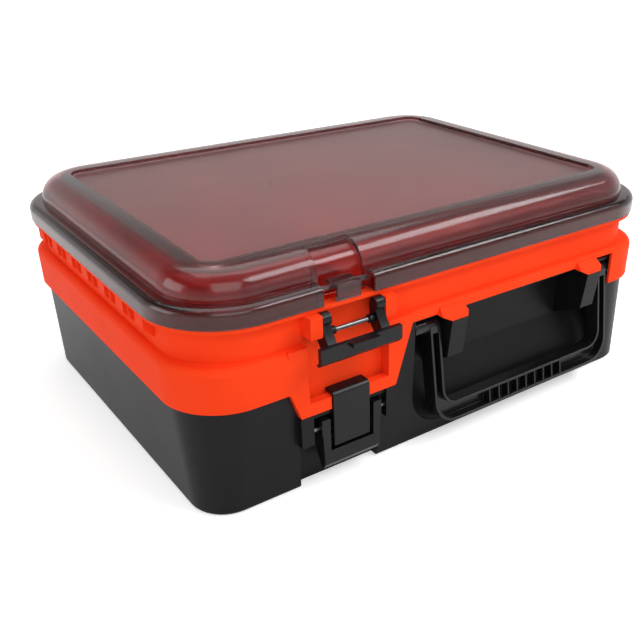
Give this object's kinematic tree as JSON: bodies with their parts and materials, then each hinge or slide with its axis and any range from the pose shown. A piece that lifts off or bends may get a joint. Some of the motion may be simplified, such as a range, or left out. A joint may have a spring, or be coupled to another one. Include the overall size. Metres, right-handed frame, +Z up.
{
  "type": "fishing tackle cabinet",
  "caption": "Two-tier fishing tackle case: black base box, orange compartment tray with side pads, smoke see-through lid, snap latches and a swinging carry handle.",
  "frame": {"origin": "centre of the base's flat underside, on the surface that it stands on", "axes": "+X along the long side to the right as seen from the front, -Y out of the front with the latches and handle, +Z up"},
  "size_m": [0.48, 0.3918, 0.186],
  "materials": {
    "black_plastic": "fine grained",
    "divider_black": "fine grained",
    "latch_black": "satin",
    "handle_black": "fine grained",
    "orange_plastic": "satin",
    "divider_orange": "satin",
    "smoke_plastic": "see-through smoke, polished",
    "pin_steel": "drawn wire"
  },
  "bodies": {
    "base": {"base_shell": "black_plastic", "base_long_divider": "divider_black", "base_cross_divider_left": "divider_black", "base_cross_divider_right": "divider_black", "tray_hinge_pin_left": "pin_steel", "tray_hinge_pin_right": "pin_steel", "lower_latch_pin_left": "pin_steel", "lower_latch_pin_right": "pin_steel", "handle_pin_left": "pin_steel", "handle_pin_right": "pin_steel"},
    "tray": {"tray_shell": "orange_plastic", "tray_long_divider": "divider_orange", "tray_front_divider_1": "divider_orange", "tray_front_divider_2": "divider_orange", "tray_back_divider_1": "divider_orange", "tray_back_divider_2": "divider_orange", "tray_back_divider_3": "divider_orange", "lid_hinge_pin_left": "pin_steel", "lid_hinge_pin_right": "pin_steel", "upper_latch_pin_left": "pin_steel", "upper_latch_pin_right": "pin_steel"},
    "lid": {"lid_shell": "smoke_plastic"},
    "upper_latch": {"upper_latch_lever": "latch_black", "upper_latch_cross_pin": "pin_steel"},
    "lower_latch": {"lower_latch_lever": "latch_black", "lower_latch_link_pin": "pin_steel"},
    "lower_hook": {"lower_latch_hook": "latch_black"},
    "handle": {"carry_handle": "handle_black"}
  },
  "joints": [
    {"name": "tray_hinge", "type": "hinge", "parent": "base", "child": "tray", "pos_m": [0, 0.1846, 0.0875], "axis": [-1, 0, 0], "range_deg": [0, 75]},
    {"name": "lid_hinge", "type": "hinge", "parent": "tray", "child": "lid", "pos_m": [0, 0.1863, 0.15], "axis": [-1, 0, 0], "range_deg": [0, 105]},
    {"name": "upper_latch_swing", "type": "hinge", "parent": "tray", "child": "upper_latch", "pos_m": [-0.11, -0.1805, 0.1427], "axis": [-1, 0, 0], "range_deg": [0, 140]},
    {"name": "lower_latch_swing", "type": "hinge", "parent": "base", "child": "lower_latch", "pos_m": [-0.11, -0.174, 0.05003], "axis": [-1, 0, 0], "range_deg": [0, 90]},
    {"name": "lower_hook_link", "type": "hinge", "parent": "lower_latch", "child": "lower_hook", "pos_m": [-0.11, -0.1725, 0.03802], "axis": [-1, 0, 0], "range_deg": [-90, 0]},
    {"name": "handle_swing", "type": "hinge", "parent": "base", "child": "handle", "pos_m": [0.074, -0.1685, 0.1035], "axis": [-1, 0, 0], "range_deg": [0, 80]}
  ],
  "couplings": [
    {"joint": "lower_hook_link", "follows": "lower_latch_swing", "ratio": -1}
  ]
}
